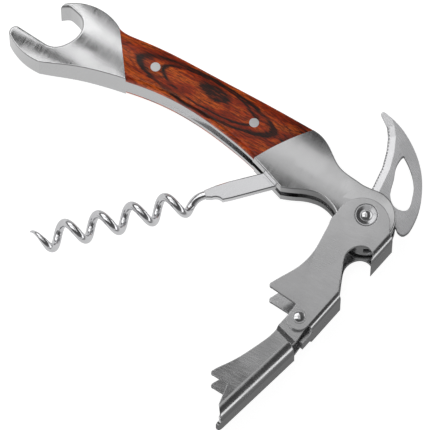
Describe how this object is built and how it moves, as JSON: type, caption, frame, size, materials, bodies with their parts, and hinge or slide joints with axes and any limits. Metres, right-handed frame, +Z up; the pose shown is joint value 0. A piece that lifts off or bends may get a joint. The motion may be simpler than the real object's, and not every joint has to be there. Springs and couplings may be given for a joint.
{
  "type": "lever corkscrew",
  "caption": "Double-hinged lever corkscrew with wood scales, cap lifter, wire worm, serrated foil knife and a two-step folding lever, lying partly opened.",
  "frame": {"origin": "bottom centre of the bounding box of the tool as posed, lying on its rear side with the levers, the worm and the knife partly opened", "axes": "+X along the handle from the cap lifter towards the main pivot, +Y from the belly of the handle towards its spine, +Z up through the handle's thickness, out of its front side; every hinge turns about Z"},
  "size_m": [0.131, 0.1076, 0.0155],
  "materials": {
    "handle_steel": "brushed stainless casting, satin with crisp edges",
    "wood": "red-brown stabilised laminated wood, satin varnish",
    "lever_steel": "satin brushed sheet steel",
    "polished_steel": "bright polished steel wire and rivets",
    "blade_steel": "satin ground blade with a bright bevel",
    "pin_steel": "flush ground steel pins and washers"
  },
  "bodies": {
    "handle": {"body": "handle_steel", "front_scale": "wood", "rear_scale": "wood", "lifter_side_pin": "pin_steel", "bolster_side_pin": "pin_steel", "worm_pin": "pin_steel", "spring_pin": "pin_steel", "back_spring": "pin_steel", "main_rivet": "polished_steel", "front_rivet_cup": "pin_steel", "rear_rivet_cup": "pin_steel", "front_ear_washer": "pin_steel", "rear_ear_washer": "pin_steel", "front_knife_washer": "pin_steel", "rear_knife_washer": "pin_steel"},
    "upper_arm": {"upper_lever": "lever_steel", "hinge_rivet": "polished_steel", "front_hinge_washer": "pin_steel", "rear_hinge_washer": "pin_steel"},
    "lower_arm": {"lower_lever": "lever_steel"},
    "screw": {"worm": "polished_steel"},
    "blade": {"knife": "blade_steel"}
  },
  "joints": [
    {"name": "lever_pivot", "type": "hinge", "parent": "handle", "child": "upper_arm", "pos_m": [0.0529, 0.02117, 0.00775], "axis": [0, 0, 1], "range_deg": [-77, 15]},
    {"name": "lower_lever_hinge", "type": "hinge", "parent": "upper_arm", "child": "lower_arm", "pos_m": [0.0496, -0.01523, 0.00775], "axis": [0, 0, 1], "range_deg": [0, 18]},
    {"name": "worm_hinge", "type": "hinge", "parent": "handle", "child": "screw", "pos_m": [0.0259, 0.02317, 0.00775], "axis": [0, 0, 1], "range_deg": [-37.5, 7.4]},
    {"name": "knife_pivot", "type": "hinge", "parent": "handle", "child": "blade", "pos_m": [0.0529, 0.02117, 0.00775], "axis": [0, 0, 1], "range_deg": [0, 56]}
  ],
  "couplings": [
    {"joint": "worm_hinge", "follows": "lever_pivot", "ratio": 0.48571}
  ]
}
